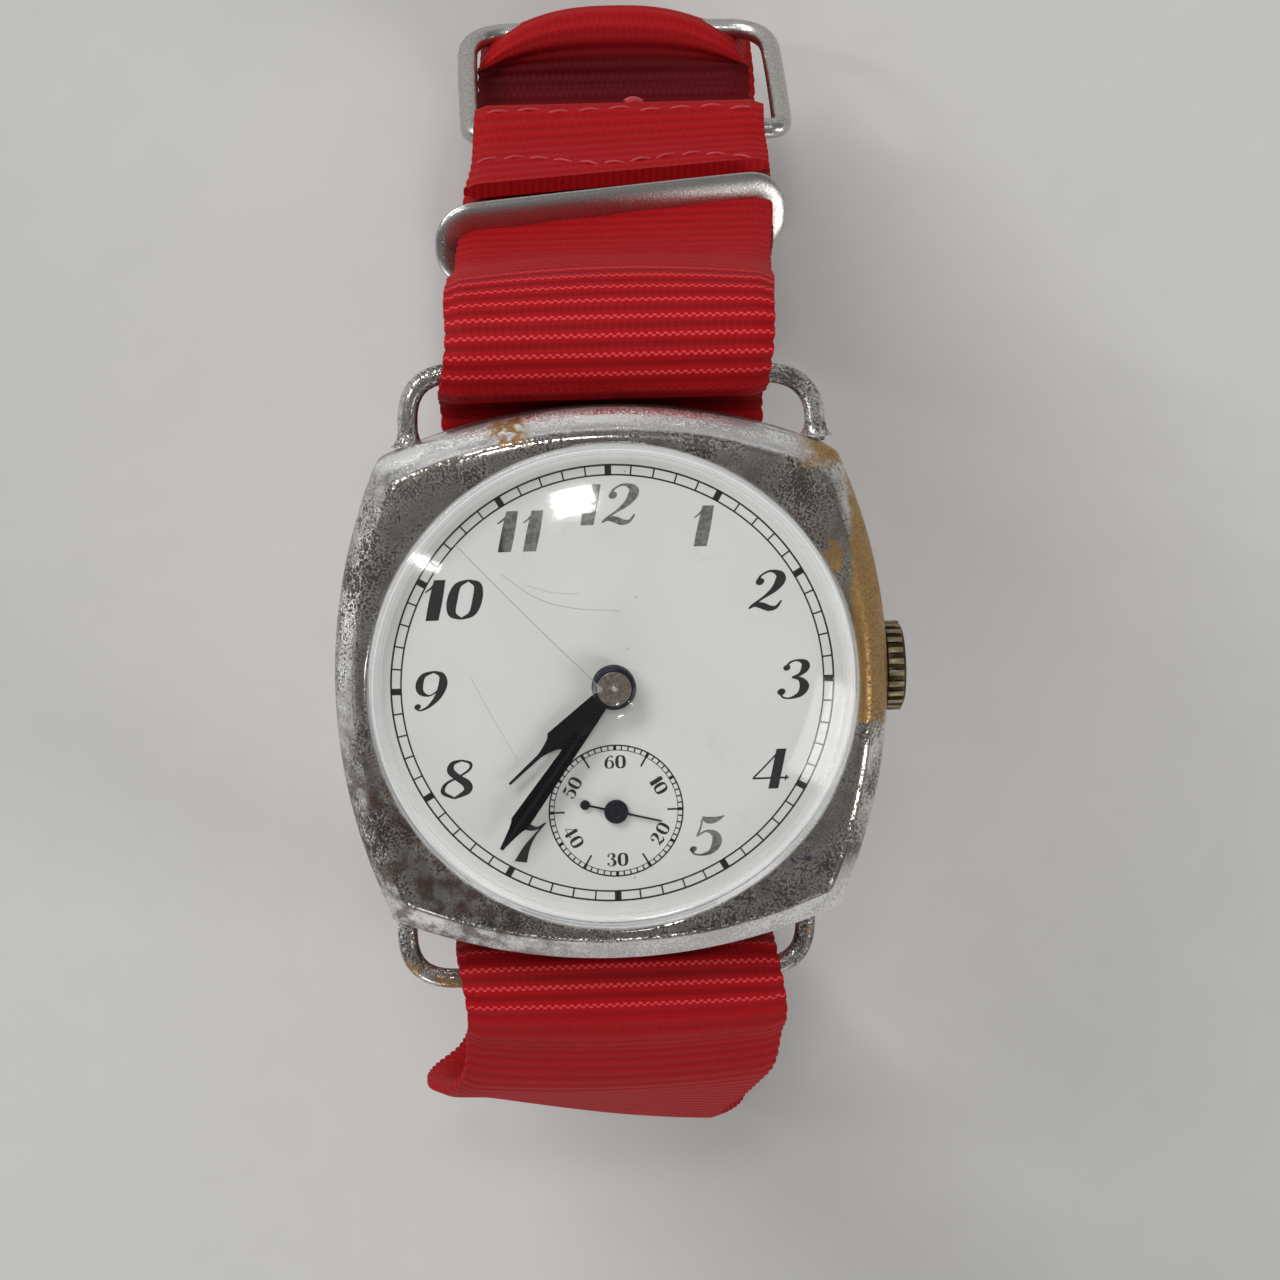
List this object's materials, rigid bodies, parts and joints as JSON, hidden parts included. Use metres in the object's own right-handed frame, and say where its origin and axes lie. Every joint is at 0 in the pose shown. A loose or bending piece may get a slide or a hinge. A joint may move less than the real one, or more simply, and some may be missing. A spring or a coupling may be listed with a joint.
{
  "type": "wristwatch",
  "caption": "Hand-wound cushion-case wristwatch with wire lugs, small seconds, full inner movement and a closed red webbing strap with buckle and keeper.",
  "frame": {"origin": "centre of the strap loop's flat rest face, straight below the dial's centre", "axes": "+Z out of the dial, +Y towards 12 o'clock, +X towards 3 o'clock and the crown"},
  "size_m": [0.0311, 0.0674, 0.0526],
  "materials": {
    "worn_nickel": "nickel plate worn, pitted and rubbed through to brass in places",
    "crown_brass": "dark tarnished brass, light on the ridge tops",
    "crystal": "clear domed acrylic crystal with fine scratches",
    "dial_enamel": "off-white painted dial with black printing",
    "blued_steel": "near-black blued steel, satin",
    "movement_steel": "polished steel",
    "gilt_brass": "gilt brass",
    "plate_nickel": "nickel-plated brass, satin",
    "webbing": "red woven nylon webbing with cross ribs",
    "strap_steel": "satin stainless steel"
  },
  "bodies": {
    "case": {"case_middle": "worn_nickel", "bezel": "worn_nickel", "case_back": "worn_nickel", "crystal": "crystal", "lug_wire_12": "worn_nickel", "lug_wire_6": "worn_nickel", "crown_tube": "crown_brass", "dial": "dial_enamel", "mainplate": "plate_nickel", "barrel_bridge": "plate_nickel", "train_bridge": "plate_nickel", "balance_cock": "plate_nickel", "pallet_bridge": "plate_nickel", "bridge_screw_1": "movement_steel", "bridge_screw_2": "movement_steel", "bridge_screw_3": "movement_steel", "bridge_screw_4": "movement_steel", "bridge_screw_5": "movement_steel", "crown_wheel_screw": "movement_steel", "click_screw": "movement_steel", "click_spring": "movement_steel", "hairspring": "blued_steel", "strap_band": "webbing"},
    "winding": {"winding_pinion": "movement_steel"},
    "crown": {"crown": "crown_brass", "winding_stem": "movement_steel", "sliding_clutch": "movement_steel"},
    "crown_wheel": {"crown_wheel": "movement_steel"},
    "ratchet": {"ratchet_wheel": "movement_steel", "ratchet_screw": "movement_steel", "barrel_arbor": "movement_steel"},
    "click": {"click": "movement_steel"},
    "barrel": {"barrel_drum": "gilt_brass", "barrel_lid": "gilt_brass", "mainspring": "movement_steel"},
    "center": {"center_wheel": "gilt_brass", "cannon_pinion": "movement_steel", "minute_hand": "blued_steel"},
    "third": {"third_wheel": "gilt_brass"},
    "fourth": {"fourth_wheel": "gilt_brass", "second_hand": "blued_steel"},
    "escape": {"escape_wheel": "movement_steel"},
    "pallet": {"pallet_fork": "movement_steel"},
    "balance": {"balance_wheel": "gilt_brass", "balance_staff": "movement_steel"},
    "minute_work": {"minute_wheel": "gilt_brass"},
    "hour": {"hour_wheel": "gilt_brass", "hour_hand": "blued_steel"},
    "keeper": {"keeper_loop": "strap_steel"},
    "buckle": {"buckle_frame": "strap_steel"}
  },
  "joints": [
    {"name": "crown_turn", "type": "hinge", "parent": "case", "child": "winding", "pos_m": [0.0071, 0, 0.0463], "axis": [1, 0, 0], "continuous": true},
    {"name": "crown_pull", "type": "slide", "parent": "winding", "child": "crown", "axis": [1, 0, 0], "range_m": [0, 0.0008]},
    {"name": "crown_wheel_turn", "type": "hinge", "parent": "case", "child": "crown_wheel", "pos_m": [0.0072, 0.00335, 0.04475], "axis": [0, 0, -1], "continuous": true},
    {"name": "ratchet_turn", "type": "hinge", "parent": "case", "child": "ratchet", "pos_m": [0, 0.00608, 0.04475], "axis": [0, 0, -1], "continuous": true},
    {"name": "click_lift", "type": "hinge", "parent": "case", "child": "click", "pos_m": [-0.00575, 0.0046, 0.0447], "axis": [0, 0, -1], "range_deg": [-6, 0], "stiffness_Nm_per_rad": 0.00002},
    {"name": "seconds_turn", "type": "hinge", "parent": "case", "child": "fourth", "pos_m": [0, -0.00697, 0.0465], "axis": [0, 0, -1], "continuous": true},
    {"name": "minute_turn", "type": "hinge", "parent": "case", "child": "center", "pos_m": [0, 0, 0.0471], "axis": [0, 0, -1], "continuous": true},
    {"name": "hour_turn", "type": "hinge", "parent": "case", "child": "hour", "pos_m": [0, 0, 0.0487], "axis": [0, 0, -1], "continuous": true},
    {"name": "minute_wheel_turn", "type": "hinge", "parent": "case", "child": "minute_work", "pos_m": [0.00244, 0.00089, 0.0484], "axis": [0, 0, -1], "continuous": true},
    {"name": "third_turn", "type": "hinge", "parent": "case", "child": "third", "pos_m": [0.00227, -0.00388, 0.0467], "axis": [0, 0, -1], "continuous": true},
    {"name": "escape_turn", "type": "hinge", "parent": "case", "child": "escape", "pos_m": [-0.00293, -0.00792, 0.0468], "axis": [0, 0, -1], "continuous": true},
    {"name": "barrel_turn", "type": "hinge", "parent": "case", "child": "barrel", "pos_m": [0, 0.00608, 0.0465], "axis": [0, 0, -1], "continuous": true},
    {"name": "pallet_rock", "type": "hinge", "parent": "case", "child": "pallet", "pos_m": [-0.00398, -0.00622, 0.0468], "axis": [0, 0, -1], "range_deg": [-5, 5]},
    {"name": "balance_swing", "type": "hinge", "parent": "case", "child": "balance", "pos_m": [-0.0062, -0.0026, 0.0463], "axis": [0, 0, -1], "range_deg": [-270, 270], "stiffness_Nm_per_rad": 0.0000001},
    {"name": "keeper_slide", "type": "slide", "parent": "case", "child": "keeper", "axis": [-0.0946, -0.3982, 0.9124], "range_m": [0, 0.002]},
    {"name": "buckle_swing", "type": "hinge", "parent": "case", "child": "buckle", "pos_m": [0.003, 0.0289, 0.02], "axis": [1, 0, 0], "range_deg": [-3, 1]}
  ],
  "couplings": [
    {"joint": "crown_wheel_turn", "follows": "crown_turn", "ratio": 0.36364},
    {"joint": "ratchet_turn", "follows": "crown_turn", "ratio": -0.27273},
    {"joint": "minute_turn", "follows": "seconds_turn", "ratio": 0.016667},
    {"joint": "hour_turn", "follows": "seconds_turn", "ratio": 0.0013889},
    {"joint": "minute_wheel_turn", "follows": "seconds_turn", "ratio": -0.0055556},
    {"joint": "third_turn", "follows": "seconds_turn", "ratio": -0.13333},
    {"joint": "escape_turn", "follows": "seconds_turn", "ratio": -10},
    {"joint": "barrel_turn", "follows": "seconds_turn", "ratio": -0.0027778}
  ]
}
